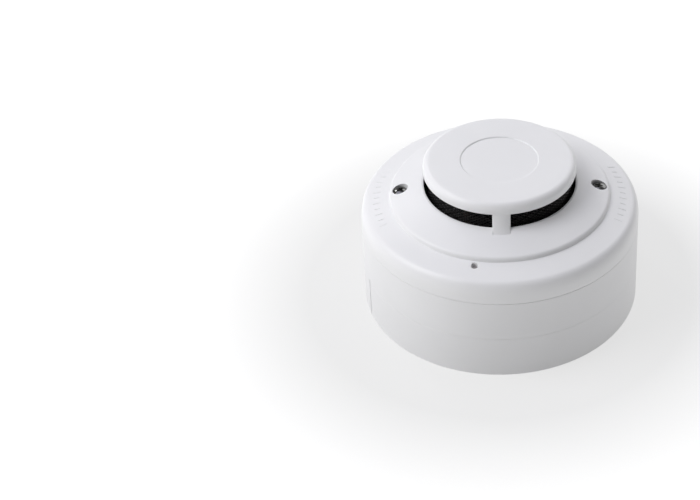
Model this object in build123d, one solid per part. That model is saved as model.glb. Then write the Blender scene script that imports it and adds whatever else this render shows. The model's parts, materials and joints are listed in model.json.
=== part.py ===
from build123d import *
import os
from math import cos, sin, radians

os.makedirs("parts", exist_ok=True)

# Frame: origin at the centre of the rear mounting face, +Z along the round
# body's axis towards the sensing cap. The front support leg points along -Y.
# All sizes in millimetres, all angles in degrees from +X.

# Outer body
REAR_RADIUS = 52.6
SHOULDER_RADIUS = 52.0
SHOULDER_Z = 35.4
WALL = 2.2
BOX_TOP = 16.9
HEAD_BOTTOM = 33.2
SEAM = 0.08
EDGE_BREAK = 0.06

# Face of the cover: sloping deck, ring step, cone and mouth
DECK_OUTER_RADIUS = 48.9
DECK_INNER_RADIUS = 41.4
DECK_INNER_Z = 43.4
DECK_SLOPE = 0.238
STEP_RADIUS = 41.1
STEP_RISE = 1.65
MOUTH_RADIUS = 28.8
MOUTH_Z = 49.0
LIP_WIDTH = 0.6
NECK_BOTTOM_Z = 45.7

# Sensing cap
CAP_RADIUS = 28.3
CAP_RIM_Z = 54.5
CAP_TOP_Z = 58.8
CAP_ROUND = 2.5
CAP_EDGE = 0.4
CAP_SKIN = 2.0
CAP_DISH_RADIUS = 14.5
CAP_DISH_SLOPE = 0.45
CAP_DISH_DEPTH = 0.3
LEG_WIDTH = 6.5
LEG_FOOT_RADIUS = 31.4
LEG_ANGLES = (30, 150, 270)

# Cover screws and indicator
SCREW_PITCH_RADIUS = 37.0
SCREW_HEAD_RADIUS = 2.7
SCREW_RECESS_RADIUS = 2.95
SCREW_SEAT_Z = 43.0
SCREW_HEAD_Z = 46.15
SCREW_TUBE_Z = 40.6
INDICATOR_RADIUS = 43.05
INDICATOR_ANGLE = -103.2
INDICATOR_HOLE_RADIUS = 1.2

# Inlet screen and optical chamber
SCREEN_RADIUS = 26.7
SCREEN_THICKNESS = 0.4
SCREEN_BOTTOM_Z = 43.8
SCREEN_RIBS = 5
CHAMBER_RADIUS = 23.6
CHAMBER_FLOOR_Z = 45.0
CHAMBER_LID_Z = 52.6
VANE_COUNT = 20

# Circuit board
BOARD_RADIUS = 46.5
BOARD_Z = 36.6
BOARD_THICKNESS = 1.6
BOARD_TOP = BOARD_Z + BOARD_THICKNESS

# Head chassis and twist lock
CHASSIS_Z = HEAD_BOTTOM + 0.25
CHASSIS_TOP = CHASSIS_Z + 2.0
CHASSIS_RADIUS = 49.6
SPIGOT_OUTER = 46.2
SPIGOT_INNER = 44.2
SPIGOT_BOTTOM = 26.8
LUG_RADIUS = 49.2
LUG_HEIGHT = 2.2
LUG_SPAN = 16
HOOK_INNER = 46.7
HOOK_Z = 29.4
HOOK_HEIGHT = 2.0
HOOK_SPAN = 18
LOCK_ANGLES = (90, 210, 330)
RELEASE_TWIST = 20
STOP_SPAN = 3
STOP_GAP = 0.8

# Back box and mounting base
BOX_FLOOR = 2.4
BASE_FLOOR = 2.4
CABLE_HOLE_RADIUS = 8.0
FIXING_SPACING = 60.0
FIXING_SLOT_LENGTH = 8.0
FIXING_SLOT_WIDTH = 4.5
BOSS_RADIUS = 3.6
BOSS_PITCH_RADIUS = 44.0
BOSS_ANGLES = (45, 135, 225, 315)
BASE_OPENING_RADIUS = 22.0
ENTRY_ANGLE = 180
ENTRY_SPAN = 39

# Terminals
CONTACT_RADIUS = 31.0
CONTACT_ANGLES = (45, 135, 225, 315)
CONTACT_OFFSET = 12.0
POST_HEIGHT = 2.0
SPRING_THICKNESS = 0.6
SPRING_WIDTH = 5.0
SPRING_CREST_Z = 24.0
BLADE_GAP = 0.2

BASE_FLOOR_TOP = BOX_TOP + BASE_FLOOR
POST_TOP = BASE_FLOOR_TOP + POST_HEIGHT


def side_radius(z):
    """Outer radius of the slightly tapered side wall at height z."""
    return REAR_RADIUS - (REAR_RADIUS - SHOULDER_RADIUS) * z / SHOULDER_Z


def deck_z(radius):
    """Height of the cover's sloping deck at a radius."""
    return DECK_INNER_Z - DECK_SLOPE * (radius - DECK_INNER_RADIUS)


def disc(radius, z0, z1, x=0.0, y=0.0):
    """Upright solid cylinder between two heights."""
    low = (Align.CENTER, Align.CENTER, Align.MIN)
    return Pos(x, y, z0) * Cylinder(radius, z1 - z0, align=low)


def ring(outer, inner, z0, z1):
    return disc(outer, z0, z1) - disc(inner, z0, z1)


def block(dx, dy, z0, z1, x=0.0, y=0.0):
    """Upright block centred on x, y between two heights."""
    low = (Align.CENTER, Align.CENTER, Align.MIN)
    return Pos(x, y, z0) * Box(dx, dy, z1 - z0, align=low)


def turned(points):
    """Solid of revolution about Z from (radius, height) corner points."""
    outline = Polyline(*points, close=True)
    return revolve(Plane.XZ * make_face(outline), Axis.Z)


def polar(radius, angle):
    return radius * cos(radians(angle)), radius * sin(radians(angle))


def wedge(span, z0, z1, angle, reach=80.0):
    """Pie slice about Z, used to cut rings into segments."""
    half = span / 2
    corners = [(0, 0), polar(reach, -half), polar(reach, half)]
    face = make_face(Polyline(*corners, close=True))
    return Rot(0, 0, angle) * Pos(0, 0, z0) * extrude(face, amount=z1 - z0)


def segment(outer, inner, z0, z1, angle, span):
    """Part of a ring, centred on an angle."""
    return ring(outer, inner, z0, z1) & wedge(span, z0, z1, angle)


def at_angle(shape, radius, angle):
    """Place a shape modelled at the origin, its +X pointing outwards."""
    return Rot(0, 0, angle) * Pos(radius, 0, 0) * shape


def save(name, shape):
    solids = shape.solids()
    body = solids[0] if len(solids) == 1 else Compound(children=list(solids))
    export_step(body, "parts/" + name + ".step")


def shell_band(z0, z1, wall):
    """Tapered tube of the outer body with lightly broken outer edges."""
    r0 = side_radius(z0)
    r1 = side_radius(z1)
    points = [
        (r0 - wall, z0),
        (r0 - EDGE_BREAK, z0),
        (r0, z0 + EDGE_BREAK),
        (r1, z1 - EDGE_BREAK),
        (r1 - EDGE_BREAK, z1),
        (r1 - wall, z1),
    ]
    return turned(points)


# ---------------------------------------------------------------- back box

def entry_window():
    """Opening through the box wall for the side cable entry."""
    slice_ = wedge(ENTRY_SPAN, -1.0, BOX_TOP + 1.0, ENTRY_ANGLE)
    wall_only = slice_ - disc(REAR_RADIUS - WALL - 0.1, -1.0, BOX_TOP + 1.0)
    above_floor = slice_ - disc(REAR_RADIUS - WALL - 3.0, -1.0, BOX_TOP + 1.0)
    return wall_only + (above_floor & disc(REAR_RADIUS + 5, BOX_FLOOR, BOX_TOP + 1.0))


def back_box():
    box = shell_band(0, BOX_TOP, WALL) + disc(side_radius(0) - WALL + 0.2, 0, BOX_FLOOR)
    for angle in BOSS_ANGLES:
        x, y = polar(BOSS_PITCH_RADIUS, angle)
        rib = at_angle(block(5.0, 1.6, BOX_FLOOR, BOX_TOP - 2.5), BOSS_PITCH_RADIUS + 4.8, angle)
        box += disc(BOSS_RADIUS, BOX_FLOOR, BOX_TOP, x, y) + rib
    for angle in BOSS_ANGLES:
        x, y = polar(BOSS_PITCH_RADIUS, angle)
        box -= disc(1.6, BOX_FLOOR + 1.6, BOX_TOP + 1, x, y)
    box -= disc(CABLE_HOLE_RADIUS, -1, BOX_FLOOR + 1)
    for side in (-1, 1):
        slot = SlotOverall(FIXING_SLOT_LENGTH, FIXING_SLOT_WIDTH)
        box -= Pos(side * FIXING_SPACING / 2, 0, -1) * extrude(slot, amount=BOX_FLOOR + 2)
    box -= entry_window()
    for side in (-1, 1):
        edge = ENTRY_ANGLE + side * (ENTRY_SPAN / 2 + 2.5)
        guide = ring(REAR_RADIUS - WALL - 1.6, REAR_RADIUS - WALL - 3.0, BOX_FLOOR - 0.2, BOX_TOP - 2.5)
        keeper = ring(REAR_RADIUS - WALL + 0.3, REAR_RADIUS - WALL - 3.0, BOX_FLOOR - 0.2, BOX_TOP - 2.5)
        outer_edge = ENTRY_ANGLE + side * (ENTRY_SPAN / 2 + 4.0)
        box += guide & wedge(5.0, 0, BOX_TOP, edge)
        box += keeper & wedge(1.6, 0, BOX_TOP, outer_edge + side * 0.8)
    return box


def cable_entry_plate():
    """Lift-out wall panel that closes the side cable entry."""
    gap = 1.1
    panel = shell_band(0, BOX_TOP - 0.02, WALL) & wedge(ENTRY_SPAN - gap, -1, BOX_TOP + 1, ENTRY_ANGLE)
    flange = ring(REAR_RADIUS - WALL, REAR_RADIUS - WALL - 1.4, BOX_FLOOR + 0.1, BOX_TOP - 2.6)
    flange &= wedge(ENTRY_SPAN + 6.0, 0, BOX_TOP, ENTRY_ANGLE)
    inside = disc(side_radius(BOX_TOP) - WALL - 0.05, 0, BOX_TOP)
    flange &= inside + wedge(ENTRY_SPAN - gap, 0, BOX_TOP, ENTRY_ANGLE)
    grip = at_angle(block(1.6, 12.0, BOX_FLOOR + 3, BOX_FLOOR + 4.4), REAR_RADIUS - WALL - 2.0, ENTRY_ANGLE)
    plate = panel + flange + grip
    return plate


# ------------------------------------------------------------ mounting base

def lock_features():
    """Three ledges that hold the head's lugs, each with end stops."""
    wall_in = side_radius(HEAD_BOTTOM) - WALL + 0.3
    parts = []
    for angle in LOCK_ANGLES:
        parts.append(segment(wall_in, HOOK_INNER, HOOK_Z, HOOK_Z + HOOK_HEIGHT, angle, HOOK_SPAN))
        lock_stop = angle - LUG_SPAN / 2 - STOP_GAP - STOP_SPAN / 2
        free_stop = angle + LUG_SPAN / 2 + RELEASE_TWIST + STOP_GAP + STOP_SPAN / 2
        for stop in (lock_stop, free_stop):
            parts.append(segment(wall_in, HOOK_INNER, SPIGOT_BOTTOM - 0.4, HOOK_Z + HOOK_HEIGHT,
                                 stop, STOP_SPAN))
    return parts


def base_plate():
    base = shell_band(BOX_TOP, HEAD_BOTTOM - SEAM / 2, WALL)
    base += disc(side_radius(BOX_TOP) - WALL + 0.3, BOX_TOP, BASE_FLOOR_TOP)
    locator_outer = side_radius(BOX_TOP) - WALL - 0.2
    locator = ring(locator_outer, locator_outer - 1.6, BOX_TOP - 1.8, BOX_TOP + 0.2)
    base += locator - wedge(ENTRY_SPAN + 14, BOX_TOP - 3, BOX_TOP, ENTRY_ANGLE)
    for feature in lock_features():
        base += feature
    rim = ring(BASE_OPENING_RADIUS + 1.6, BASE_OPENING_RADIUS, BOX_TOP, BASE_FLOOR_TOP + 1.6)
    base += rim
    for angle in CONTACT_ANGLES:
        post = block(9, 9, BASE_FLOOR_TOP - 0.2, POST_TOP, 0, -CONTACT_OFFSET)
        base += at_angle(post, CONTACT_RADIUS, angle)
        fence = at_angle(block(9, 1.2, BASE_FLOOR_TOP - 0.2, POST_TOP + 2.2, 0, -CONTACT_OFFSET - 5.1),
                         CONTACT_RADIUS, angle)
        base += fence
    base -= disc(BASE_OPENING_RADIUS, BOX_TOP - 3, BASE_FLOOR_TOP + 3)
    for angle in CONTACT_ANGLES:
        base -= at_angle(disc(1.6, BOX_TOP - 1, POST_TOP + 1, 0, -CONTACT_OFFSET), CONTACT_RADIUS, angle)
    for angle in BOSS_ANGLES:
        x, y = polar(BOSS_PITCH_RADIUS, angle)
        base -= disc(1.7, BOX_TOP - 1, BASE_FLOOR_TOP + 1, x, y)
    for side in (-1, 1):
        slot = SlotOverall(FIXING_SLOT_LENGTH, FIXING_SLOT_WIDTH)
        base -= Pos(side * FIXING_SPACING / 2, 0, BOX_TOP - 1) * extrude(slot, amount=BASE_FLOOR + 2)
    return base


def cross_recess(radius, depth, top):
    """Cross-shaped driver recess cut down from a screw's top."""
    width = radius * 0.34
    reach = radius * 1.25
    cross = block(reach, width, top - depth, top + 1) + block(width, reach, top - depth, top + 1)
    return cross


def pan_screw(head_radius, shank_radius, seat, head_height, length):
    """Pan-head cross-recess screw, axis on Z, head seated at height seat."""
    top = seat + head_height
    head = disc(head_radius, seat, top)
    head = fillet(head.edges().group_by(Axis.Z)[-1], head_height * 0.55)
    tip = turned([(0, seat - length - shank_radius), (shank_radius, seat - length), (0, seat - length)])
    screw = head + disc(shank_radius, seat - length, seat + 0.1) + tip
    return screw - cross_recess(head_radius, head_height * 0.6, top)


def base_screws():
    screw = pan_screw(3.0, 1.5, BASE_FLOOR_TOP, 2.0, 11.0)
    return Compound(children=[Pos(*polar(BOSS_PITCH_RADIUS, a), 0) * screw for a in BOSS_ANGLES])


def contact_spring():
    """Bent strip: flat foot under the terminal, ramp, crest and turned-down tip."""
    half_foot = 4.0
    foot = -CONTACT_OFFSET
    crest = SPRING_CREST_Z - SPRING_THICKNESS
    path = [
        (foot - half_foot, POST_TOP),
        (foot + half_foot, POST_TOP),
        (foot + half_foot + 4.5, crest),
        (3.0, crest),
        (5.2, crest - 1.5),
    ]
    upper = [(y, z + SPRING_THICKNESS) for y, z in reversed(path)]
    outline = make_face(Polyline(*path, *upper, close=True))
    strip = extrude(Plane.YZ * outline, amount=SPRING_WIDTH / 2, both=True)
    strip -= disc(1.6, POST_TOP - 1, POST_TOP + 2, 0, foot)
    return strip


def wire_clamp():
    """Square saddle washer with two turned-down edges."""
    z = POST_TOP + SPRING_THICKNESS
    plate = block(7.4, 6.6, z + 0.5, z + 1.3, 0, -CONTACT_OFFSET)
    for side in (-1, 1):
        plate += block(0.7, 6.6, z, z + 0.6, side * 3.35, -CONTACT_OFFSET)
    return plate - disc(1.7, z - 1, z + 3, 0, -CONTACT_OFFSET)


def terminal_screw():
    seat = POST_TOP + SPRING_THICKNESS + 1.3
    return Pos(0, -CONTACT_OFFSET, 0) * pan_screw(2.8, 1.5, seat, 2.0, 5.6)


def around_contacts(shape):
    return Compound(children=[at_angle(shape, CONTACT_RADIUS, a) for a in CONTACT_ANGLES])


# ------------------------------------------------------------- head chassis

def screw_boss_places():
    return [(side * SCREW_PITCH_RADIUS, 0) for side in (-1, 1)]


def board_post_places():
    return [polar(38.5, angle) for angle in (90, 205, 325)]


def blade_cut(z0, z1):
    cuts = []
    for angle in CONTACT_ANGLES:
        cuts.append(at_angle(block(1.5, 4.3, z0, z1), CONTACT_RADIUS, angle))
    return cuts


def head_chassis():
    chassis = disc(CHASSIS_RADIUS, CHASSIS_Z, CHASSIS_TOP)
    chassis += ring(SPIGOT_OUTER, SPIGOT_INNER, SPIGOT_BOTTOM, CHASSIS_Z + 0.2)
    for angle in LOCK_ANGLES:
        chassis += segment(LUG_RADIUS, SPIGOT_INNER + 0.5, SPIGOT_BOTTOM, SPIGOT_BOTTOM + LUG_HEIGHT,
                           angle, LUG_SPAN)
    for x, y in screw_boss_places():
        chassis += disc(3.9, CHASSIS_TOP - 0.2, SCREW_TUBE_Z - 0.1, x, y)
    for x, y in board_post_places():
        chassis += disc(2.8, CHASSIS_TOP - 0.2, BOARD_Z, x, y)
    for x, y in screw_boss_places():
        chassis -= disc(1.55, CHASSIS_Z + 0.8, SCREW_TUBE_Z + 1, x, y)
    for x, y in board_post_places():
        chassis -= disc(1.15, CHASSIS_Z + 0.6, BOARD_Z + 1, x, y)
    for cut in blade_cut(CHASSIS_Z - 1, CHASSIS_TOP + 1):
        chassis -= cut
    return chassis


def contact_blade():
    """Blade from the board down to the spring crest, with a rounded nose."""
    nose = SPRING_CREST_Z + BLADE_GAP
    blade = block(1.2, 4.0, nose, BOARD_Z - 0.05)
    lower = blade.edges().filter_by(Axis.X).group_by(Axis.Z)[0]
    blade = fillet(lower, 1.4)
    blade += block(1.2, 2.0, BOARD_Z - 0.1, BOARD_TOP + 1.0)
    return blade


def circuit_board():
    board = disc(BOARD_RADIUS, BOARD_Z, BOARD_TOP)
    for x, y in screw_boss_places():
        board -= disc(4.2, BOARD_Z - 1, BOARD_TOP + 1, x, y)
    for x, y in board_post_places():
        board -= disc(1.35, BOARD_Z - 1, BOARD_TOP + 1, x, y)
    for cut in blade_cut(BOARD_Z - 1, BOARD_TOP + 1):
        board -= cut
    return board


def board_screws():
    screw = pan_screw(2.2, 1.1, BOARD_TOP, 1.6, 3.2)
    return Compound(children=[Pos(x, y, 0) * screw for x, y in board_post_places()])


# ------------------------------------------------- parts on the circuit board

def controller_chip():
    body = block(9, 9, BOARD_TOP + 0.15, BOARD_TOP + 1.75)
    body = chamfer(body.edges().group_by(Axis.Z)[-1], 0.3)
    lead = block(1.3, 0.4, BOARD_TOP, BOARD_TOP + 0.7)
    for turn in range(4):
        for step in range(-3, 4):
            body += Rot(0, 0, 90 * turn) * Pos(4.9, step * 1.1, 0) * lead
    return at_angle(body, 33.6, 62)


def smoothing_capacitors():
    places = ((31.2, -12), (31.2, 12))
    shapes = []
    for radius, angle in places:
        x, y = polar(radius, angle)
        can = disc(2.4, BOARD_TOP + 0.8, BOARD_TOP + 5.0, x, y)
        can = fillet(can.edges().group_by(Axis.Z)[-1], 0.5)
        shapes.append(can + block(5.0, 5.0, BOARD_TOP, BOARD_TOP + 0.9, x, y))
    return Compound(children=shapes)


def rectifier_bridge():
    body = block(4.8, 4.2, BOARD_TOP + 0.1, BOARD_TOP + 2.5)
    body = chamfer(body.edges().group_by(Axis.Z)[-1], 0.4)
    for side in (-1, 1):
        for step in (-1.3, 1.3):
            body += block(1.2, 0.7, BOARD_TOP, BOARD_TOP + 0.9, side * 2.8, step)
    return at_angle(body, 34.0, 155)


def alarm_thyristor():
    body = block(6.6, 6.2, BOARD_TOP, BOARD_TOP + 2.3)
    body = chamfer(body.edges().group_by(Axis.Z)[-1], 0.4)
    for step in (-2.3, 2.3):
        body += block(2.8, 0.9, BOARD_TOP, BOARD_TOP + 0.6, -4.4, step)
    return at_angle(body, 36.0, 247)


def chip_resistors():
    shapes = []
    for angle in (20, 28, 105, 113, 121, 172, 188, 284, 292, 300, 345):
        shapes.append(at_angle(block(2.0, 1.25, BOARD_TOP, BOARD_TOP + 0.6), 42.3, angle))
    return Compound(children=shapes)


def test_reed_switch():
    glass = Rot(90, 0, 0) * Cylinder(1.1, 10)
    glass = fillet(glass.edges(), 0.9)
    lead = Rot(90, 0, 0) * Cylinder(0.3, 15)
    legs = [block(0.6, 0.6, -1.3, 0.3, 0, side * 7.2) for side in (-1, 1)]
    reed = glass + lead + legs[0] + legs[1]
    return at_angle(Pos(0, 0, BOARD_TOP + 1.3) * reed, 42.2, 228)


def indicator_led():
    body = block(3.2, 2.4, BOARD_TOP, BOARD_TOP + 0.9)
    lens = fillet(disc(0.95, BOARD_TOP + 0.8, BOARD_TOP + 1.5).edges().group_by(Axis.Z)[-1], 0.5)
    return at_angle(body + lens, INDICATOR_RADIUS, INDICATOR_ANGLE)


def light_pipe():
    """Clear rod that carries the indicator's light up to the cover hole."""
    pipe = disc(1.2, BOARD_TOP + 1.6, deck_z(INDICATOR_RADIUS) - 1.0)
    pipe = fillet(pipe.edges().group_by(Axis.Z)[-1], 0.4)
    pipe += disc(1.7, BOARD_TOP + 1.6, BOARD_TOP + 2.1)
    return at_angle(pipe, INDICATOR_RADIUS, INDICATOR_ANGLE)


# --------------------------------------------------------- optical chamber

def thermistor_angle():
    return 240


def chamber_base():
    body = turned([
        (0, 43.0),
        (21.5, 43.0),
        (21.5, BOARD_TOP + 0.02),
        (25.2, BOARD_TOP + 0.02),
        (25.2, 42.2),
        (27.4, 42.2),
        (27.4, SCREEN_BOTTOM_Z - 0.4),
        (25.2, SCREEN_BOTTOM_Z - 0.4),
        (25.2, CHAMBER_FLOOR_Z),
        (0, CHAMBER_FLOOR_Z),
    ])
    for angle in (20, 155):
        stand = block(6.0, 6.0, CHAMBER_FLOOR_Z - 0.2, CHAMBER_FLOOR_Z + 5.6)
        bore = Pos(-3.0, 0, CHAMBER_FLOOR_Z + 2.9) * Rot(0, 90, 0) * Cylinder(1.62, 10)
        body += at_angle(stand, 12.0, angle) - at_angle(bore, 12.0, angle)
    body -= at_angle(block(4.0, 4.0, BOARD_TOP - 1, CHAMBER_FLOOR_Z + 1), 24.6, thermistor_angle())
    body += at_angle(block(1.0, 5.0, BOARD_TOP + 0.02, CHAMBER_FLOOR_Z), 22.3, thermistor_angle())
    return body


def labyrinth():
    """Ring of V-shaped light traps that let air in and keep light out."""
    trap = ring(23.2, 16.6, CHAMBER_FLOOR_Z, CHAMBER_FLOOR_Z + 0.8)
    for index in range(VANE_COUNT):
        angle = 360 / VANE_COUNT * index
        outer = Pos(21.3, 0, 0) * Rot(0, 0, 42) * block(4.0, 0.8, CHAMBER_FLOOR_Z, CHAMBER_LID_Z)
        inner = Pos(18.4, 0, 0) * Rot(0, 0, -42) * block(4.0, 0.8, CHAMBER_FLOOR_Z, CHAMBER_LID_Z)
        trap += Rot(0, 0, angle) * (outer + inner)
    return trap & ring(23.2, 16.6, CHAMBER_FLOOR_Z, CHAMBER_LID_Z)


def chamber_lid():
    lid = disc(CHAMBER_RADIUS, CHAMBER_LID_Z, CHAMBER_LID_Z + 1.4)
    lid = fillet(lid.edges().group_by(Axis.Z)[-1], 0.6)
    lid += ring(16.3, 15.3, CHAMBER_LID_Z - 1.2, CHAMBER_LID_Z + 0.1)
    return lid


def round_led(angle):
    """Small domed optical device lying in its stand, facing the axis."""
    body = Cylinder(1.5, 4.0)
    body = fillet(body.edges().group_by(Axis.Z)[-1], 1.2)
    rim = Pos(0, 0, -1.7) * Cylinder(1.58, 0.6)
    device = Rot(0, -90, 0) * (body + rim)
    return at_angle(Pos(-0.6, 0, CHAMBER_FLOOR_Z + 2.9) * device, 12.0, angle)


def thermistor(height):
    """Glass bead on two wires that rise from the board."""
    bead = Pos(0, 0, height) * Sphere(1.1)
    for side in (-1, 1):
        bead += disc(0.3, BOARD_TOP + 0.02, height, 0, side * 0.6)
    return bead


def sensing_thermistor():
    return at_angle(thermistor(50.2), 24.6, thermistor_angle())


def reference_thermistor():
    return at_angle(thermistor(BOARD_TOP + 2.4), 29.0, thermistor_angle() + 60)


def screen_frame():
    """Cage of two rings and upright ribs that carries the inlet screen."""
    top = CAP_RIM_Z + 0.4
    inner = SCREEN_RADIUS - SCREEN_THICKNESS - 1.1
    outer = SCREEN_RADIUS - SCREEN_THICKNESS - 0.03
    foot = SCREEN_BOTTOM_Z - 0.35
    cage = ring(outer, inner, foot, foot + 1.5) + ring(outer, inner, top - 1.2, top)
    cage += ring(SCREEN_RADIUS + 0.5, inner, foot, SCREEN_BOTTOM_Z)
    for index in range(SCREEN_RIBS):
        cage += segment(outer, inner, SCREEN_BOTTOM_Z, top - 0.5, 270 + 360 / SCREEN_RIBS * index, 3.4)
    return cage


def insect_screen():
    return ring(SCREEN_RADIUS, SCREEN_RADIUS - SCREEN_THICKNESS, SCREEN_BOTTOM_Z, CAP_RIM_Z + 0.4)


# ------------------------------------------------------- cover and cap

def cover_face_lines():
    """Outer surface of the cover, from the shoulder up to the mouth's lip."""
    crest_r = STEP_RADIUS - 0.8
    crest_z = DECK_INNER_Z + STEP_RISE
    deck_start = (DECK_OUTER_RADIUS, deck_z(DECK_OUTER_RADIUS))
    deck_end = (DECK_INNER_RADIUS, DECK_INNER_Z)
    shoulder_corner = (SHOULDER_RADIUS, deck_z(SHOULDER_RADIUS))
    step_middle = (STEP_RADIUS, DECK_INNER_Z + STEP_RISE / 2)
    cone_middle = (34.9, 46.9)
    lip = (MOUTH_RADIUS + 0.25, MOUTH_Z)
    return [
        Bezier((SHOULDER_RADIUS, SHOULDER_Z), shoulder_corner, deck_start),
        Line(deck_start, deck_end),
        Spline(deck_end, step_middle, (crest_r, crest_z), tangents=[(-1, 0.15), (-1, 0.25)]),
        Spline((crest_r, crest_z), cone_middle, lip, tangents=[(-1, 0.3), (-1, 0.4)]),
        Line(lip, (MOUTH_RADIUS - LIP_WIDTH, MOUTH_Z)),
    ]


def cover_shell():
    """The cover's wall turned about Z: skirt, shoulder, deck, step, cone and neck."""
    bottom = HEAD_BOTTOM + SEAM / 2
    r_low = side_radius(bottom)
    under_face = Polyline(
        (MOUTH_RADIUS - LIP_WIDTH, MOUTH_Z),
        (MOUTH_RADIUS - LIP_WIDTH, NECK_BOTTOM_Z),
        (30.6, NECK_BOTTOM_Z),
        (40.2, deck_z(40.2) - 1.9),
        (47.6, deck_z(47.6) - 2.0),
    )
    under_corner = (SHOULDER_RADIUS - WALL, deck_z(SHOULDER_RADIUS - WALL) - 2.0)
    under_shoulder = Bezier((47.6, deck_z(47.6) - 2.0), under_corner, (SHOULDER_RADIUS - WALL, SHOULDER_Z))
    skirt = Polyline(
        (SHOULDER_RADIUS - WALL, SHOULDER_Z),
        (r_low - WALL, bottom),
        (r_low - EDGE_BREAK, bottom),
        (r_low, bottom + EDGE_BREAK),
        (SHOULDER_RADIUS, SHOULDER_Z),
    )
    face = make_face(Curve() + cover_face_lines() + [under_face, under_shoulder, skirt])
    return revolve(Plane.XZ * face, Axis.Z)


def under_cover():
    """All the space below the cover's outer surface, to trim the screw tubes."""
    close = Polyline(
        (MOUTH_RADIUS - LIP_WIDTH, MOUTH_Z),
        (0, MOUTH_Z),
        (0, BASE_FLOOR_TOP),
        (SHOULDER_RADIUS, BASE_FLOOR_TOP),
        (SHOULDER_RADIUS, SHOULDER_Z),
    )
    face = make_face(Curve() + cover_face_lines() + close)
    return revolve(Plane.XZ * face, Axis.Z)


def outer_cover():
    cover = cover_shell()
    inside = under_cover()
    for x, y in screw_boss_places():
        cover += disc(SCREW_RECESS_RADIUS + 1.4, SCREW_TUBE_Z, MOUTH_Z, x, y) & inside
    for x, y in screw_boss_places():
        cover -= disc(SCREW_RECESS_RADIUS, SCREW_SEAT_Z, 50, x, y)
        cover -= disc(1.75, 39, 50, x, y)
    x, y = polar(INDICATOR_RADIUS, INDICATOR_ANGLE)
    cover -= disc(INDICATOR_HOLE_RADIUS, 39, 50, x, y)
    for angle in LEG_ANGLES:
        cover -= leg_blank(angle, LEG_WIDTH + 0.1, LEG_FOOT_RADIUS, NECK_BOTTOM_Z + 1.0)
    return cover


def leg_blank(angle, width, foot, bottom):
    """Upright leg whose outer face leans out from the cap rim to the cone."""
    inner = SCREEN_RADIUS + 0.25
    face = Bezier((foot, MOUTH_Z - 1.3), (CAP_RADIUS + 0.65, MOUTH_Z + 0.7), (CAP_RADIUS, CAP_RIM_Z))
    back = Polyline(
        (CAP_RADIUS, CAP_RIM_Z),
        (CAP_RADIUS, CAP_RIM_Z + 1.5),
        (inner, CAP_RIM_Z + 1.5),
        (inner, bottom),
        (foot, bottom),
        (foot, MOUTH_Z - 1.3),
    )
    leg = extrude(Plane.XZ * make_face(Curve() + [face, back]), amount=width / 2, both=True)
    return Rot(0, 0, angle) * leg


def snap_hook(angle):
    """Tongue below a leg, with a barb that catches under the cover's neck."""
    inner = SCREEN_RADIUS + 0.25
    outer = MOUTH_RADIUS - LIP_WIDTH - 0.15
    outline = Polyline(
        (inner, NECK_BOTTOM_Z + 1.5),
        (inner, NECK_BOTTOM_Z - 1.7),
        (outer, NECK_BOTTOM_Z - 1.7),
        (outer + 1.0, NECK_BOTTOM_Z - 0.9),
        (outer + 1.0, NECK_BOTTOM_Z - 0.15),
        (outer, NECK_BOTTOM_Z - 0.15),
        (outer, NECK_BOTTOM_Z + 1.5),
        close=True,
    )
    hook = extrude(Plane.XZ * make_face(outline), amount=LEG_WIDTH / 2 - 1.0, both=True)
    return Rot(0, 0, angle) * hook


def sensing_cap():
    cap = disc(CAP_RADIUS, CAP_RIM_Z, CAP_TOP_Z)
    cap = fillet(cap.edges().group_by(Axis.Z)[-1], CAP_ROUND)
    cap = fillet(cap.edges().group_by(Axis.Z)[0], CAP_EDGE)
    cap -= disc(SCREEN_RADIUS + 0.15, CAP_RIM_Z - 1, CAP_RIM_Z + 0.55)
    cap -= disc(CHAMBER_RADIUS + 0.8, CAP_RIM_Z - 1, CAP_TOP_Z - CAP_SKIN)
    dish_floor = CAP_TOP_Z - CAP_DISH_DEPTH
    cap -= turned([
        (0, dish_floor),
        (CAP_DISH_RADIUS - CAP_DISH_SLOPE, dish_floor),
        (CAP_DISH_RADIUS, CAP_TOP_Z),
        (CAP_DISH_RADIUS, CAP_TOP_Z + 1),
        (0, CAP_TOP_Z + 1),
    ])
    for angle in LEG_ANGLES:
        cap += leg_blank(angle, LEG_WIDTH, LEG_FOOT_RADIUS - 0.02, NECK_BOTTOM_Z + 1.02)
        cap += snap_hook(angle)
    return cap


def cover_screws():
    height = SCREW_HEAD_Z - SCREW_SEAT_Z
    screw = pan_screw(SCREW_HEAD_RADIUS, 1.45, SCREW_SEAT_Z, height, 7.0)
    return Compound(children=[Pos(x, y, 0) * Rot(0, 0, 25) * screw for x, y in screw_boss_places()])


# ------------------------------------------------------------------- write

save("back_box", back_box())
save("cable_entry_plate", cable_entry_plate())
save("base_plate", base_plate())
save("base_screws", base_screws())
for index, angle in enumerate(CONTACT_ANGLES, start=1):
    save(f"contact_spring_{index}", at_angle(contact_spring(), CONTACT_RADIUS, angle))
    save(f"contact_blade_{index}", at_angle(contact_blade(), CONTACT_RADIUS, angle))
save("wire_clamps", around_contacts(wire_clamp()))
save("terminal_screws", around_contacts(terminal_screw()))

save("head_chassis", head_chassis())
save("circuit_board", circuit_board())
save("board_screws", board_screws())
save("controller_chip", controller_chip())
save("smoothing_capacitors", smoothing_capacitors())
save("rectifier_bridge", rectifier_bridge())
save("alarm_thyristor", alarm_thyristor())
save("chip_resistors", chip_resistors())
save("test_reed_switch", test_reed_switch())
save("indicator_led", indicator_led())
save("light_pipe", light_pipe())

save("chamber_base", chamber_base())
save("labyrinth", labyrinth())
save("chamber_lid", chamber_lid())
save("infrared_emitter", round_led(20))
save("photodiode", round_led(155))
save("sensing_thermistor", sensing_thermistor())
save("reference_thermistor", reference_thermistor())
save("screen_frame", screen_frame())
save("insect_screen", insect_screen())

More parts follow.
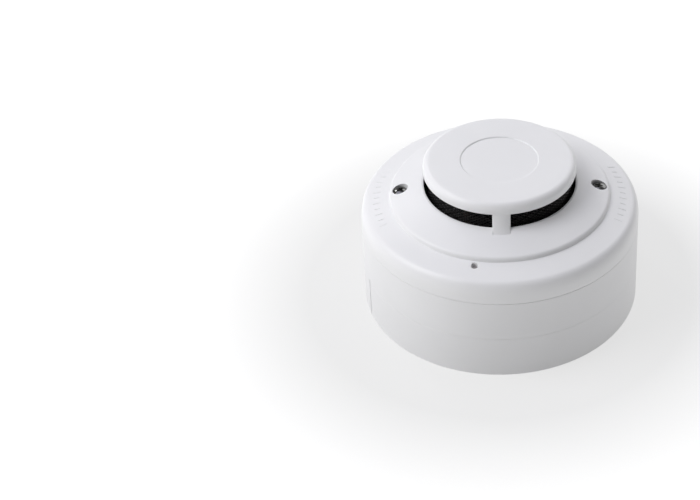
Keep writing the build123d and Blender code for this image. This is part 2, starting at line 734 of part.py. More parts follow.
save("outer_cover", outer_cover())
save("sensing_cap", sensing_cap())
save("cover_screws", cover_screws())
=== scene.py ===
import bpy
import bmesh
import json
import math
from mathutils import Matrix, Vector


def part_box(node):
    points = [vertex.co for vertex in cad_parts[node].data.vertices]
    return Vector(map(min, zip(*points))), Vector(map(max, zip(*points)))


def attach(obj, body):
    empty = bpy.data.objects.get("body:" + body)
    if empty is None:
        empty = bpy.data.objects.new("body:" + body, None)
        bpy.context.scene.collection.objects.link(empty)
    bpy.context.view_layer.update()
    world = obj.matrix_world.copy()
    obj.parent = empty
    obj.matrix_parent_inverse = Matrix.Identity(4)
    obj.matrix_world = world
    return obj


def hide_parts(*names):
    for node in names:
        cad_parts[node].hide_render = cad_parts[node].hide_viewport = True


# Heat detector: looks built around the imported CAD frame. Shapes are worked out
# in millimetres, with z up from the rear face, and become metres as meshes are made.

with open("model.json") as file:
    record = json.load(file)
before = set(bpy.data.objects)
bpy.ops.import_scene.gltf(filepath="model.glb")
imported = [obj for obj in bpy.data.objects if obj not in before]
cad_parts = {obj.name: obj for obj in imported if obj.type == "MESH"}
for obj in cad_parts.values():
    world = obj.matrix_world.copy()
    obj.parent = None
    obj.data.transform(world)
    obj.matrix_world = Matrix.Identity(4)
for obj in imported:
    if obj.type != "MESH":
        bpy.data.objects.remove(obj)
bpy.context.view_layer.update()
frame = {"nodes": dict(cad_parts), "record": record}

MM = 0.001
nodes = frame["nodes"]


def span(node):
    """Lowest and highest corner of a CAD node, in millimetres."""
    low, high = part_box(node)
    return low / MM, high / MM


cover_low, cover_high = span("outer_cover")
cap_low, cap_high = span("sensing_cap")
screen_low, screen_high = span("insect_screen")
screw_low, screw_high = span("cover_screws")
pipe_low, pipe_high = span("light_pipe")

# Cover
REAR_TAPER = 0.0169
SHOULDER_RADIUS = 52.0
SHOULDER_Z = 35.4
WALL = 2.2
DECK_OUTER_RADIUS = 48.9
DECK_INNER_RADIUS = 41.4
DECK_INNER_Z = 43.4
DECK_SLOPE = 0.238
STEP_FOOT = (41.22, 43.44)
STEP_BEND = (41.02, 44.75)
CREST = (40.2, 45.15)
CONE_BEND = (35.2, 46.8)
MOUTH_Z = cover_high.z
MOUTH_RADIUS = 28.8
NECK_RADIUS = 28.2
NECK_BOTTOM_Z = 45.7
NECK_FLANGE_RADIUS = 30.6
CONE_INSIDE_RADIUS = 40.2
CONE_WALL = 1.9
DECK_INSIDE_RADIUS = 47.6
DECK_WALL = 2.0
CLEAR_ABOVE_Z = 52.0
CLEAR_BELOW_Z = 39.0

# Plain raised marks on the deck
MARK_RADIUS = 46.0
MARK_SPACING = 4.2
MARK_LENGTHS = (2.2, 3.0)
MARK_WIDTH = 0.8
MARK_HEIGHT = 0.13

# Cap
CAP_RADIUS = 28.3
CAP_RIM_Z = 54.5
CAP_TOP_Z = cap_high.z
CAP_ROUND = 2.5
CAP_INSIDE_Z = CAP_TOP_Z - 2.0
CAP_INSIDE_RADIUS = 24.4
SEAT_RADIUS = screen_high.x + 0.15
SEAT_Z = CAP_RIM_Z + 0.55
DISH_RADIUS = 14.5
DISH_DEPTH = 0.4
LEG_WIDTH = 6.5
LEG_FOOT_RADIUS = 31.38
LEG_INNER_RADIUS = screen_high.x + 0.25
LEG_ANGLES = (30, 150, 270)
LEG_EDGE = 0.4
LEG_FACE_ROUND = 11.0
FOOT_EDGE = 0.03
FOOT_FACE_ROUND = 500.0
HOOK_BOTTOM_Z = cap_low.z
HOOK_GAP = 0.15

# Screen
SCREEN_RADIUS = screen_high.x
THREAD_PITCH = 1.05
THREAD_RADIUS = 0.17
THREAD_LEAD = 32

# Screws and indicator
SCREW_HEAD_RADIUS = 2.7
SCREW_DOME_TILT = 30
SCREW_TURNS = (45, 75)
SCREW_PITCH_RADIUS = screw_high.x - SCREW_HEAD_RADIUS
SCREW_SEAT_Z = 43.0
SCREW_TOP_Z = screw_high.z
SCREW_BORE_RADIUS = 1.75
SCREW_SHANK_RADIUS = 1.45
RECESS_RADIUS = 2.95
TUBE_RADIUS = RECESS_RADIUS + 1.4
TUBE_BOTTOM_Z = 40.6
TUBE_TOP_Z = 42.9
INDICATOR = ((pipe_low.x + pipe_high.x) / 2, (pipe_low.y + pipe_high.y) / 2)
INDICATOR_HOLE_RADIUS = 1.2

TURNS = 300


# ------------------------------------------------------------ mesh helpers

def arc(r, z, radius, start, stop, count=12):
    """Profile points on an arc about (r, z). Angles in degrees: 0 is outwards, 90 is up."""
    points = []
    for i in range(count + 1):
        angle = math.radians(start + (stop - start) * i / count)
        points.append((r + radius * math.cos(angle), z + radius * math.sin(angle)))
    return points


def bend(start, control, stop, count=24):
    """Profile points on a quadratic curve."""
    points = []
    for i in range(count + 1):
        t = i / count
        weights = ((1 - t) ** 2, 2 * t * (1 - t), t * t)
        points.append(tuple(sum(w * p[k] for w, p in zip(weights, (start, control, stop))) for k in (0, 1)))
    return points


def corner(before, at, after, radius, count=6):
    """Profile points that round the corner at a point between its two neighbours."""
    here = Vector(at)
    one = (Vector(before) - here).normalized()
    two = (Vector(after) - here).normalized()
    half = one.angle(two) / 2
    reach = radius / math.tan(half)
    centre = here + (one + two).normalized() * radius / math.sin(half)
    first = here + one * reach - centre
    turn = first.angle_signed(here + two * reach - centre)
    points = []
    for i in range(count + 1):
        angle = -turn * i / count
        spin = Matrix.Rotation(angle, 2)
        points.append(tuple(centre + spin @ first))
    return points


def fill_in(profile, longest=1.5, closed=True):
    """The profile with its long straight runs divided."""
    points = []
    following = profile[1:] + profile[:1] if closed else profile[1:]
    for a, b in zip(profile, following):
        pieces = max(1, math.ceil(math.dist(a, b) / longest))
        for i in range(pieces):
            share = i / pieces
            points.append((a[0] + (b[0] - a[0]) * share, a[1] + (b[1] - a[1]) * share))
    return points if closed else points + [profile[-1]]


def finish_mesh(name, builder, sharp=32):
    """A smooth-shaded object from a bmesh in millimetres."""
    bmesh.ops.recalc_face_normals(builder, faces=builder.faces)
    mesh = bpy.data.meshes.new(name)
    builder.to_mesh(mesh)
    builder.free()
    mesh.transform(Matrix.Scale(MM, 4))
    mesh.shade_smooth()
    mesh.set_sharp_from_angle(angle=math.radians(sharp))
    piece = bpy.data.objects.new(name, mesh)
    bpy.context.scene.collection.objects.link(piece)
    return piece


def grid_faces(builder, rows, close_rows=True, close_columns=True):
    """Quads between successive rows of vertices."""
    row_count = len(rows) if close_rows else len(rows) - 1
    for i in range(row_count):
        here, there = rows[i], rows[(i + 1) % len(rows)]
        column_count = len(here) if close_columns else len(here) - 1
        for j in range(column_count):
            k = (j + 1) % len(here)
            corners = [here[j], here[k], there[k], there[j]]
            distinct = list(dict.fromkeys(corners))
            if len(distinct) > 2:
                builder.faces.new(distinct)


def lathe_mesh(builder, profile, turns=TURNS, centre=(0.0, 0.0)):
    """Turns a profile about the vertical line through centre. An end on the axis is one vertex."""
    rows = []
    for r, z in profile:
        if r < 1e-6:
            rows.append([builder.verts.new((*centre, z))] * turns)
            continue
        row = []
        for j in range(turns):
            angle = 2 * math.pi * j / turns
            x = centre[0] + r * math.cos(angle)
            y = centre[1] + r * math.sin(angle)
            row.append(builder.verts.new((x, y, z)))
        rows.append(row)
    on_axis = profile[0][0] < 1e-6 and profile[-1][0] < 1e-6
    grid_faces(builder, rows, close_rows=not on_axis)


def lathe(name, profile, turns=TURNS, centre=(0.0, 0.0)):
    builder = bmesh.new()
    lathe_mesh(builder, profile, turns, centre)
    return finish_mesh(name, builder)


def combine(piece, tool, operation, sharp=32):
    """Cuts the tool out of the piece, or joins it on, and drops the tool."""
    step = piece.modifiers.new("combine", "BOOLEAN")
    step.operation = operation
    step.solver = "EXACT"
    step.object = tool
    bpy.context.view_layer.update()
    result = bpy.data.meshes.new_from_object(piece.evaluated_get(bpy.context.evaluated_depsgraph_get()))
    piece.modifiers.clear()
    piece.data = result
    result.shade_smooth()
    result.set_sharp_from_angle(angle=math.radians(sharp))
    bpy.data.objects.remove(tool)
    return piece


def spun(builder, angle):
    """Turns everything in a bmesh about the Z axis."""
    bmesh.ops.rotate(builder, verts=builder.verts, matrix=Matrix.Rotation(math.radians(angle), 3, "Z"))


def side_radius(z):
    return SHOULDER_RADIUS + (SHOULDER_Z - z) * REAR_TAPER


def deck_z(radius):
    """Height of the cover's sloping deck at a radius."""
    return DECK_INNER_Z - DECK_SLOPE * (radius - DECK_INNER_RADIUS)


# -------------------------------------------------------------------- cover

def cover_face():
    """The cover's outer face from the foot of the skirt to the mouth."""
    foot = cover_low.z
    deck_start = (DECK_OUTER_RADIUS, deck_z(DECK_OUTER_RADIUS))
    shoulder_corner = (SHOULDER_RADIUS, deck_z(SHOULDER_RADIUS))
    lip = (MOUTH_RADIUS + 0.1, MOUTH_Z)
    foot_inside = (side_radius(foot) - WALL, foot)
    points = corner(foot_inside, (side_radius(foot), foot), (SHOULDER_RADIUS, SHOULDER_Z), 0.12, 4)
    points += bend((SHOULDER_RADIUS, SHOULDER_Z), shoulder_corner, deck_start, 30)
    points += corner(deck_start, STEP_FOOT, STEP_BEND, 0.25)
    points += bend(STEP_FOOT, STEP_BEND, CREST, 12)[3:]
    points += bend(CREST, CONE_BEND, lip)[1:-1]
    points += corner(CONE_BEND, lip, (NECK_RADIUS, MOUTH_Z), 0.2, 4)
    points += corner(lip, (NECK_RADIUS, MOUTH_Z), (NECK_RADIUS, NECK_BOTTOM_Z), 0.12, 4)
    return points


def cover_profile():
    """The whole section of the cover: outer face, neck and inside."""
    foot = cover_low.z
    wall_inside = SHOULDER_RADIUS - WALL
    under_deck = (DECK_INSIDE_RADIUS, deck_z(DECK_INSIDE_RADIUS) - DECK_WALL)
    inside = [
        (NECK_RADIUS, NECK_BOTTOM_Z),
        (NECK_FLANGE_RADIUS, NECK_BOTTOM_Z),
        (CONE_INSIDE_RADIUS, deck_z(CONE_INSIDE_RADIUS) - CONE_WALL),
    ]
    inside += bend(under_deck, (wall_inside, deck_z(wall_inside) - DECK_WALL), (wall_inside, SHOULDER_Z), 12)
    inside += [(side_radius(foot) - WALL, foot)]
    return fill_in(cover_face() + inside)


def face_height(radius):
    """Height of the cover's outer face at a radius."""
    points = cover_face()
    for outer, inner in zip(points, points[1:]):
        if inner[0] <= radius <= outer[0]:
            share = (outer[0] - radius) / max(outer[0] - inner[0], 1e-9)
            return outer[1] + (inner[1] - outer[1]) * share
    return MOUTH_Z


def screw_places():
    return [(side * SCREW_PITCH_RADIUS, 0.0) for side in (-1, 1)]


def screw_tubes():
    """Tubes round the two screws, trimmed just under the cover's face."""
    builder = bmesh.new()
    for place in screw_places():
        profile = [(0, TUBE_BOTTOM_Z), (TUBE_RADIUS, TUBE_BOTTOM_Z)]
        profile += [(TUBE_RADIUS, TUBE_TOP_Z), (0, TUBE_TOP_Z)]
        lathe_mesh(builder, profile, 64, place)
    return finish_mesh("tubes", builder)


def raised_tick(builder, angle, length):
    """A small raised bar that follows the cover's face outwards."""
    steps = 8
    sides = [(-0.5, 0.35), (-0.42, 1.0), (0.42, 1.0), (0.5, 0.35)]
    rows = []
    for i in range(steps + 1):
        radius = MARK_RADIUS + length * (i / steps - 0.5)
        end = min(i, steps - i)
        lift = MARK_HEIGHT * (0.35 if end == 0 else 1.0)
        surface = face_height(radius)
        row = []
        for across, share in sides:
            row.append(builder.verts.new((radius, across * MARK_WIDTH, surface + lift * share)))
        for across in (0.5, -0.5):
            row.append(builder.verts.new((radius, across * MARK_WIDTH, surface - 0.3)))
        rows.append(row)
    grid_faces(builder, rows, close_rows=False)
    builder.faces.new(rows[0][::-1])
    builder.faces.new(rows[-1])
    new = [v for row in rows for v in row]
    bmesh.ops.rotate(builder, verts=new, matrix=Matrix.Rotation(math.radians(angle), 3, "Z"))


def plain_marks():
    """Two arcs of plain raised bars where the real cover carries moulded words."""
    builder = bmesh.new()
    for side in (0, 180):
        for index in range(-5, 6):
            raised_tick(builder, side + index * MARK_SPACING, MARK_LENGTHS[index % 2])
    return finish_mesh("marks", builder)


def outline_prism(builder, outline, width):
    """A flat outline in the r-z plane made into a block of the given width."""
    near = [builder.verts.new((r, -width / 2, z)) for r, z in outline]
    far = [builder.verts.new((r, width / 2, z)) for r, z in outline]
    grid_faces(builder, [near, far], close_rows=False)
    builder.faces.new(near[::-1])
    builder.faces.new(far)


def leg_slots():
    """Slots in the cone that take the feet of the cap's legs."""
    builder = bmesh.new()
    gap = 0.05
    inner = LEG_INNER_RADIUS - gap
    outer = LEG_FOOT_RADIUS + gap
    floor_z = NECK_BOTTOM_Z + 1.0
    for angle in LEG_ANGLES:
        block = bmesh.new()
        outline = [(inner, floor_z), (outer, floor_z), (outer, CLEAR_ABOVE_Z), (inner, CLEAR_ABOVE_Z)]
        outline_prism(block, outline, LEG_WIDTH + 0.02)
        spun(block, angle)
        join(builder, block)
    return finish_mesh("slots", builder)


def join(builder, other):
    """Adds another bmesh to this one and frees it."""
    mesh = bpy.data.meshes.new("part")
    other.to_mesh(mesh)
    other.free()
    builder.from_mesh(mesh)
    bpy.data.meshes.remove(mesh)


def recess_cutters():
    """Cutters for the two screw recesses and the indicator hole, which follows the deck's slope."""
    builder = bmesh.new()
    for place in screw_places():
        profile = [(0, CLEAR_BELOW_Z), (SCREW_BORE_RADIUS, CLEAR_BELOW_Z), (SCREW_BORE_RADIUS, SCREW_SEAT_Z)]
        profile += [(RECESS_RADIUS, SCREW_SEAT_Z), (RECESS_RADIUS, CLEAR_ABOVE_Z), (0, CLEAR_ABOVE_Z)]
        lathe_mesh(builder, profile, 72, place)
    surface = face_height(math.hypot(*INDICATOR))
    edge = 0.25
    hole = [(0, CLEAR_BELOW_Z), (INDICATOR_HOLE_RADIUS, CLEAR_BELOW_Z)]
    hole += arc(INDICATOR_HOLE_RADIUS + edge, surface - 0.3, edge, 180, 100, 5)
    hole += [(INDICATOR_HOLE_RADIUS + 0.35, CLEAR_ABOVE_Z), (0, CLEAR_ABOVE_Z)]
    tilted = bmesh.new()
    lathe_mesh(tilted, hole, 48, INDICATOR)
    for vertex in tilted.verts:
        vertex.co.z -= DECK_SLOPE * (vertex.co.xy.length - math.hypot(*INDICATOR))
    join(builder, tilted)
    return finish_mesh("recesses", builder)


def make_cover():
    cover = lathe("cover_moulding", cover_profile())
    combine(cover, screw_tubes(), "UNION")
    combine(cover, plain_marks(), "UNION")
    combine(cover, recess_cutters(), "DIFFERENCE")
    return combine(cover, leg_slots(), "DIFFERENCE")


# ---------------------------------------------------------------------- cap

def cap_profile():
    """Round cap, with a shallow dish in its top and a stepped seat for the screen below."""
    dish_z = CAP_TOP_Z - DISH_DEPTH
    dish_foot = (DISH_RADIUS - 0.35, dish_z)
    dish_edge = (DISH_RADIUS + 0.05, CAP_TOP_Z)
    seat = (SEAT_RADIUS, CAP_RIM_Z)
    points = [(0, dish_z)]
    points += corner((0, dish_z), dish_foot, dish_edge, 0.12, 4)
    points += corner(dish_foot, dish_edge, (CAP_RADIUS, CAP_TOP_Z), 0.2, 5)
    points += arc(CAP_RADIUS - CAP_ROUND, CAP_TOP_Z - CAP_ROUND, CAP_ROUND, 90, 0, 18)
    points += corner((CAP_RADIUS, CAP_TOP_Z), (CAP_RADIUS, CAP_RIM_Z), seat, 0.4)
    points += corner((CAP_RADIUS, CAP_RIM_Z), seat, (SEAT_RADIUS, SEAT_Z), 0.15, 3)
    points += [
        (SEAT_RADIUS, SEAT_Z),
        (CAP_INSIDE_RADIUS, SEAT_Z),
        (CAP_INSIDE_RADIUS, CAP_INSIDE_Z),
        (0, CAP_INSIDE_Z),
    ]
    return points


def rounded_section(inner, outer, width, edge, face_round, count=5):
    """Leg section seen from above: square at the inner side, rounded edges outside."""
    half = width / 2
    across = half - edge
    sink = face_round - math.sqrt(face_round**2 - across**2)
    tilt = math.degrees(math.asin(across / face_round))
    side = arc(outer - sink - edge, across, edge, tilt, 90, count)
    front = arc(outer - face_round, 0, face_round, -tilt, tilt, 8)
    points = [(inner, -half)] + [(x, -y) for x, y in reversed(side)]
    return points + front[1:-1] + side + [(inner, half)]


def leg_outline():
    """Outer radius of a leg at each height, from its foot to inside the cap's rim."""
    foot = (LEG_FOOT_RADIUS, MOUTH_Z - 1.3)
    top = (CAP_RADIUS, CAP_RIM_Z + 0.1)
    points = [(LEG_FOOT_RADIUS, NECK_BOTTOM_Z + 1.05)]
    points += bend(foot, (CAP_RADIUS + 0.65, MOUTH_Z + 0.7), top, 16)
    return points + [(CAP_RADIUS - 0.02, CAP_RIM_Z + 0.8)]


def leg(builder, angle):
    """One leg. Its two lowest rows have nearly square corners, to fill the slot below the cone's face."""
    body = bmesh.new()
    rows = []
    for index, (outer, z) in enumerate(leg_outline()):
        edge, face_round = (FOOT_EDGE, FOOT_FACE_ROUND) if index < 2 else (LEG_EDGE, LEG_FACE_ROUND)
        section = rounded_section(LEG_INNER_RADIUS, outer, LEG_WIDTH, edge, face_round)
        rows.append([body.verts.new((x, y, z)) for x, y in section])
    grid_faces(body, rows, close_rows=False)
    body.faces.new(rows[0][::-1])
    body.faces.new(rows[-1])
    spun(body, angle)
    join(builder, body)


def hook(builder, angle):
    """Tongue below a leg, with a barb that catches under the cover's neck."""
    body = bmesh.new()
    inner = LEG_INNER_RADIUS
    outer = NECK_RADIUS - HOOK_GAP
    barb = outer + 1.0
    outline = [
        (inner, NECK_BOTTOM_Z + 1.5),
        (inner, HOOK_BOTTOM_Z + 0.3),
        (inner + 0.3, HOOK_BOTTOM_Z),
        (outer, HOOK_BOTTOM_Z),
        (barb, HOOK_BOTTOM_Z + 0.8),
        (barb, NECK_BOTTOM_Z - HOOK_GAP),
        (outer, NECK_BOTTOM_Z - HOOK_GAP),
        (outer, NECK_BOTTOM_Z + 1.5),
    ]
    outline_prism(body, outline, LEG_WIDTH - 2.0)
    spun(body, angle)
    join(builder, body)


def make_cap():
    cap = lathe("cap_moulding", fill_in(cap_profile(), closed=False))
    legs = bmesh.new()
    for angle in LEG_ANGLES:
        leg(legs, angle)
    combine(cap, finish_mesh("legs", legs), "UNION")
    hooks = bmesh.new()
    for angle in LEG_ANGLES:
        hook(hooks, angle)
    return combine(cap, finish_mesh("hooks", hooks), "UNION")


# ------------------------------------------------------------------- screen

def thread(builder, start, direction, low, high, phase):
    """One thread of the weave: a helix that goes over and under the threads it crosses."""
    lead = math.radians(THREAD_LEAD)
    crossing = THREAD_PITCH / math.sin(2 * lead)
    length = (high - low) / math.sin(lead)
    samples = math.ceil(length / crossing * 4)
    middle = SCREEN_RADIUS - 2 * THREAD_RADIUS
    around = 5
    rows = []
    for i in range(samples + 1):
        along = length * i / samples
        z = low + along * math.sin(lead)
        angle = start + direction * along * math.cos(lead) / middle
        lift = THREAD_RADIUS * 0.9 * math.cos(math.pi * along / crossing + phase)
        out = Vector((math.cos(angle), math.sin(angle), 0))
        tangent = Vector((-math.sin(angle), math.cos(angle), 0)) * direction * math.cos(lead)
        tangent.z = math.sin(lead)
        side = out.cross(tangent)
        centre = out * (middle + lift) + Vector((0, 0, z))
        row = []
        for k in range(around):
            turn = 2 * math.pi * k / around
            offset = (out * math.cos(turn) + side * math.sin(turn)) * THREAD_RADIUS
            row.append(builder.verts.new(centre + offset))
        rows.append(row)
    grid_faces(builder, rows, close_rows=False)
    builder.faces.new(rows[0][::-1])
    builder.faces.new(rows[-1])


def make_screen():
    """Woven insect screen between two hems."""
    builder = bmesh.new()
    low = screen_low.z + 0.9
    high = screen_high.z - 0.1
    circumferential = THREAD_PITCH / math.sin(math.radians(THREAD_LEAD))
    count = 2 * round(math.pi * SCREEN_RADIUS / circumferential)
    for index in range(count):
        start = 2 * math.pi * index / count
        thread(builder, start, 1, low, high, math.pi * index)
        thread(builder, start, -1, low, high, math.pi * (index + 1))
    for z0, z1 in ((screen_low.z, low + 0.2), (high - 0.3, screen_high.z)):
        inner = SCREEN_RADIUS - 0.4
        outline = [(SCREEN_RADIUS - 0.1, z0), (SCREEN_RADIUS, z0 + 0.1), (SCREEN_RADIUS, z1 - 0.1)]
        outline += [(SCREEN_RADIUS - 0.1, z1), (inner, z1), (inner, z0)]
        lathe_mesh(builder, outline, 180)
    return finish_mesh("woven_screen", builder, 60)


# ------------------------------------------------------------------- screws

def screw_profile():
    """Domed pan head with a soft rim, a plain neck and rolled thread."""
    rim = SCREW_SEAT_Z
    shank = SCREW_SHANK_RADIUS
    pitch = 0.6
    depth = 0.3
    edge = SCREW_HEAD_RADIUS - 0.15
    dome = edge / math.sin(math.radians(SCREW_DOME_TILT))
    dome_arc = arc(0, SCREW_TOP_Z - dome, dome, 90, 90 - SCREW_DOME_TILT, 16)
    head = [(0, SCREW_TOP_Z)] + dome_arc[1:]
    head += corner(head[-1], (SCREW_HEAD_RADIUS, head[-1][1] - 0.35), (SCREW_HEAD_RADIUS, rim), 0.2, 4)
    head += corner((SCREW_HEAD_RADIUS, rim + 1), (SCREW_HEAD_RADIUS, rim), (shank, rim), 0.2, 4)
    head += [(shank, rim)]
    z = rim - 0.8
    while z > screw_low.z + 1.9:
        head += [(shank, z), (shank - depth, z - pitch / 2)]
        z -= pitch
    return head + [(shank, z), (0, screw_low.z + 0.02)]


def wing_cutter(builder, place, turn):
    """One tapered wing of a cross recess."""
    body = bmesh.new()
    rows = []
    for depth, reach, thick in ((1.5, 0.55, 0.22), (0.4, 1.25, 0.33), (-0.3, 1.6, 0.4)):
        ring = [(reach, -thick), (reach + 0.12, 0), (reach, thick)]
        ring += [(-x, -y) for x, y in ring]
        rows.append([body.verts.new((x, y, SCREW_TOP_Z - depth)) for x, y in ring])
    grid_faces(body, rows, close_rows=False)
    body.faces.new(rows[0][::-1])
    body.faces.new(rows[-1])
    spun(body, turn)
    bmesh.ops.translate(body, verts=body.verts, vec=(*place, 0))
    join(builder, body)


def make_screws():
    """Both cover screws. Each wing of the crosses is a boolean of its own, so no cutter crosses itself."""
    builder = bmesh.new()
    for place in screw_places():
        lathe_mesh(builder, screw_profile(), 64, place)
    screws = finish_mesh("dome_screws", builder, 35)
    for wing in (0, 90):
        cutters = bmesh.new()
        for place, turn in zip(screw_places(), SCREW_TURNS):
            wing_cutter(cutters, place, turn + wing)
        combine(screws, finish_mesh("wings", cutters), "DIFFERENCE", 30)
    return screws


# ------------------------------------------------------------------ materials

def new_material(name):
    """A material with an empty Principled shader, and its node tree."""
    material = bpy.data.materials.new(name)
    material.use_nodes = True
    tree = material.node_tree
    return material, tree, tree.nodes["Principled BSDF"]


def add_node(tree, kind, **inputs):
    node = tree.nodes.new(kind)
    for key, value in inputs.items():
        node.inputs[key.replace("_", " ")].default_value = value
    return node


def noise(tree, scale, detail=3.0, rough=0.5):
    """Noise on object coordinates, so that it stays put on the part."""
    coords = tree.nodes.new("ShaderNodeTexCoord")
    texture = add_node(tree, "ShaderNodeTexNoise", Scale=scale, Detail=detail, Roughness=rough)
    tree.links.new(coords.outputs["Object"], texture.inputs["Vector"])
    return texture


def ramp(tree, source, low, high, start=0.35, stop=0.65):
    """Two-colour ramp driven by a texture."""
    node = tree.nodes.new("ShaderNodeValToRGB")
    node.color_ramp.elements[0].position = start
    node.color_ramp.elements[1].position = stop
    node.color_ramp.elements[0].color = (*low, 1)
    node.color_ramp.elements[1].color = (*high, 1)
    tree.links.new(source, node.inputs["Fac"])
    return node.outputs["Color"]


def spread(tree, source, low, high):
    """Maps a 0 to 1 texture onto a range of values."""
    node = add_node(tree, "ShaderNodeMapRange", To_Min=low, To_Max=high)
    tree.links.new(source, node.inputs["Value"])
    return node.outputs["Result"]


def bump(tree, shader, source, depth, strength=1.0):
    node = add_node(tree, "ShaderNodeBump", Strength=strength, Distance=depth)
    tree.links.new(source, node.inputs["Height"])
    tree.links.new(node.outputs["Normal"], shader.inputs["Normal"])


def moulded_plastic(
    name, colour, shade=0.015, rough=(0.36, 0.46), grain=900.0, depth=0.006 * MM, gloss=0.5
):
    """Injection moulded plastic: fine eroded grain, slight colour drift and uneven sheen."""
    material, tree, shader = new_material(name)
    low = tuple(c * (1 - shade) for c in colour)
    high = tuple(min(1.0, c * (1 + shade)) for c in colour)
    drift = noise(tree, 28.0)
    tree.links.new(ramp(tree, drift.outputs["Fac"], low, high), shader.inputs["Base Color"])
    sheen = noise(tree, 120.0, detail=5.0)
    tree.links.new(spread(tree, sheen.outputs["Fac"], *rough), shader.inputs["Roughness"])
    shader.inputs["IOR"].default_value = 1.5
    shader.inputs["Specular IOR Level"].default_value = gloss
    bump(tree, shader, noise(tree, grain, detail=2.0).outputs["Fac"], depth)
    return material


def metal(name, dark, light, rough, grain=400.0):
    """Plated or rolled metal with fine marks."""
    material, tree, shader = new_material(name)
    marks = noise(tree, grain, detail=6.0)
    tree.links.new(ramp(tree, marks.outputs["Fac"], dark, light), shader.inputs["Base Color"])
    tree.links.new(spread(tree, marks.outputs["Fac"], *rough), shader.inputs["Roughness"])
    shader.inputs["Metallic"].default_value = 1.0
    bump(tree, shader, marks.outputs["Fac"], 0.01 * MM)
    return material


def clear_plastic(name, colour):
    material, tree, shader = new_material(name)
    haze = noise(tree, 600.0)
    light = tuple(min(1.0, c * 1.1) for c in colour)
    tree.links.new(ramp(tree, haze.outputs["Fac"], colour, light), shader.inputs["Base Color"])
    tree.links.new(spread(tree, haze.outputs["Fac"], 0.12, 0.25), shader.inputs["Roughness"])
    shader.inputs["Transmission Weight"].default_value = 0.5
    shader.inputs["IOR"].default_value = 1.49
    return material


WHITE = (0.808, 0.808, 0.818)
white_cover = moulded_plastic("white_cover", WHITE)
white_housing = moulded_plastic("white_housing", tuple(c * 0.985 for c in WHITE))
white_inner = moulded_plastic("white_inner", (0.70, 0.70, 0.69), rough=(0.5, 0.6))
black_plastic = moulded_plastic("black_plastic", (0.006, 0.006, 0.0065), rough=(0.45, 0.6), gloss=0.15)
black_thread = moulded_plastic(
    "black_thread", (0.009, 0.0085, 0.0085), rough=(0.3, 0.4), grain=6000.0, gloss=0.3
)
chip_plastic = moulded_plastic("chip_plastic", (0.03, 0.03, 0.034), rough=(0.45, 0.6))
board_green = moulded_plastic("board_green", (0.01, 0.10, 0.035), shade=0.2, rough=(0.25, 0.4))
bead_brown = moulded_plastic("bead_brown", (0.06, 0.03, 0.02), shade=0.1, rough=(0.3, 0.4), gloss=0.2)
lamp_pale = moulded_plastic("lamp_pale", (0.50, 0.33, 0.24), shade=0.1, rough=(0.2, 0.3))
zinc = metal("zinc", (0.50, 0.50, 0.48), (0.66, 0.66, 0.64), (0.25, 0.4))
dark_chrome = metal("dark_chrome", (0.15, 0.15, 0.15), (0.21, 0.21, 0.205), (0.1, 0.16))
brass = metal("brass", (0.66, 0.47, 0.20), (0.80, 0.60, 0.28), (0.2, 0.35))
can_metal = metal("can_metal", (0.68, 0.69, 0.70), (0.80, 0.81, 0.82), (0.2, 0.3))
clear = clear_plastic("clear", (0.50, 0.47, 0.47))

SLOT_MATERIALS = {
    "white_housing": white_housing,
    "white_base": white_housing,
    "white_cover": white_cover,
    "white_inner": white_inner,
    "black_plastic": black_plastic,
    "screen_mesh": black_thread,
    "zinc_steel": zinc,
    "dark_chrome": dark_chrome,
    "spring_brass": brass,
    "board_green": board_green,
    "chip_black": chip_plastic,
    "capacitor_can": can_metal,
    "clear_glass": clear,
    "thermistor_bead": bead_brown,
    "indicator_red": lamp_pale,
}


def dress(piece, material):
    piece.data.materials.clear()
    piece.data.materials.append(material)


def stand_in(piece, node, slot):
    """A new piece that rides on the head in place of a CAD node."""
    dress(piece, SLOT_MATERIALS[slot])
    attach(piece, "head")
    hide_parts(node)


for part in frame["record"]["subparts"]:
    dress(nodes[part["node"]], SLOT_MATERIALS[part["material_slot"]])

stand_in(make_cover(), "outer_cover", "white_cover")
stand_in(make_cap(), "sensing_cap", "white_cover")
stand_in(make_screen(), "insect_screen", "screen_mesh")
stand_in(make_screws(), "cover_screws", "dark_chrome")


# ---------------------------------------------------------------- the studio

def soft_box(name, azimuth, elevation, watts, size=0.9, tint=(1, 1, 1)):
    """Square studio light aimed at the part. Azimuth 0 is the camera's side, 90 the right."""
    turn, tilt = math.radians(azimuth), math.radians(elevation)
    place = Vector((math.sin(turn) * math.cos(tilt), -math.cos(turn) * math.cos(tilt), math.sin(tilt))) * 1.4
    data = bpy.data.lights.new(name, "AREA")
    data.shape = "SQUARE"
    data.size = size
    data.energy = watts
    data.color = tint
    lamp = bpy.data.objects.new(name, data)
    lamp.location = place
    lamp.rotation_mode = "QUATERNION"
    lamp.rotation_quaternion = (Vector((0, 0, 0.03)) - place).to_track_quat("-Z", "Y")
    bpy.context.scene.collection.objects.link(lamp)


def maths(tree, operation, first, second):
    """Output of a maths node; each input is a socket or a number."""
    node = tree.nodes.new("ShaderNodeMath")
    node.operation = operation
    for socket, value in zip(node.inputs, (first, second)):
        if isinstance(value, (int, float)):
            socket.default_value = value
        else:
            tree.links.new(value, socket)
    return node.outputs[0]


def wall_glow(tree, direction, strength):
    """Light from one side of the room, strongest along a direction and none behind it."""
    coords = tree.nodes.new("ShaderNodeTexCoord")
    dot = tree.nodes.new("ShaderNodeVectorMath")
    dot.operation = "DOT_PRODUCT"
    dot.inputs[1].default_value = direction
    tree.links.new(coords.outputs["Generated"], dot.inputs[0])
    facing = maths(tree, "MAXIMUM", dot.outputs["Value"], 0.0)
    return maths(tree, "MULTIPLY", facing, strength)


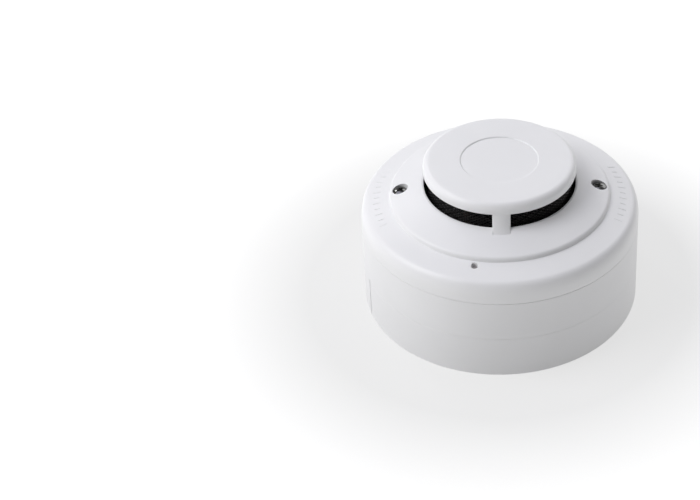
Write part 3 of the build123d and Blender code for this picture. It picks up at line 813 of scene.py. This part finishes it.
def studio():
    world = bpy.data.worlds.new("studio")
    bpy.context.scene.world = world
    world.use_nodes = True
    tree = world.node_tree
    right = wall_glow(tree, (1, 0, 0), 0.36)
    back = wall_glow(tree, (0, 1, 0), 0.39)
    tree.links.new(maths(tree, "ADD", right, back), tree.nodes["Background"].inputs["Strength"])
    tree.nodes["Background"].inputs["Color"].default_value = (1, 1, 1, 1)
    soft_box("left", 280, 45, 14.5)
    soft_box("right_back", 145, 30, 3.9)
    soft_box("top", 250, 75, 4.0, tint=(0.96, 0.96, 1.12))
    soft_box("window", 217, 40, 1.5, 0.2)
    bpy.context.scene.view_settings.view_transform = "Standard"


def floor():
    """Plain floor that glows a little, as a lit studio table does, with a painted contact shadow: its glow
    is less beside the part.
    """
    mesh = bpy.data.meshes.new("floor")
    half = 6.0
    corners = [(-half, -half, 0), (half, -half, 0), (half, half, 0), (-half, half, 0)]
    mesh.from_pydata(corners, [], [(0, 1, 2, 3)])
    plane = bpy.data.objects.new("floor", mesh)
    plane.location.z = -0.02 * MM
    bpy.context.scene.collection.objects.link(plane)
    material, tree, shader = new_material("pale_floor")
    tone = ramp(tree, noise(tree, 3.0).outputs["Fac"], (0.15, 0.15, 0.15), (0.16, 0.16, 0.16))
    tree.links.new(tone, shader.inputs["Base Color"])
    # Painted shadow: the glow falls from 0.96 beyond 130 mm of the part's axis to 0.69 within 75 mm,
    # standing in for a soft contact shadow.
    coords = tree.nodes.new("ShaderNodeTexCoord")
    away = tree.nodes.new("ShaderNodeVectorMath")
    away.operation = "LENGTH"
    tree.links.new(coords.outputs["Object"], away.inputs[0])
    glow_with_painted_shadow = add_node(tree, "ShaderNodeMapRange", From_Min=0.075, From_Max=0.13, To_Min=0.69, To_Max=0.96)
    tree.links.new(away.outputs["Value"], glow_with_painted_shadow.inputs["Value"])
    tree.links.new(glow_with_painted_shadow.outputs["Result"], shader.inputs["Emission Strength"])
    shader.inputs["Emission Color"].default_value = (1, 1, 1, 1)
    shader.inputs["Roughness"].default_value = 0.9
    shader.inputs["Specular IOR Level"].default_value = 0.0
    mesh.materials.append(material)


def camera():
    """Camera at the photograph's angle, the object right of the frame's middle."""
    data = bpy.data.cameras.new("camera")
    eye = bpy.data.objects.new("camera", data)
    azimuth = math.radians(-1.01)
    elevation = math.radians(38.87)
    roll = math.radians(0.63)
    distance = 0.5826
    aim = Vector((0, 0, 0.01596))
    back = Vector((
        math.sin(azimuth) * math.cos(elevation),
        -math.cos(azimuth) * math.cos(elevation),
        math.sin(elevation),
    ))
    eye.location = aim + back * distance
    eye.rotation_mode = "QUATERNION"
    look = (-back).to_track_quat("-Z", "Y")
    eye.rotation_quaternion = look @ Matrix.Rotation(-roll, 3, "Z").to_quaternion()
    data.sensor_width = 36.0
    data.lens = 77.92
    data.shift_x = -0.2148
    bpy.context.scene.collection.objects.link(eye)
    bpy.context.scene.camera = eye


studio()
floor()
camera()
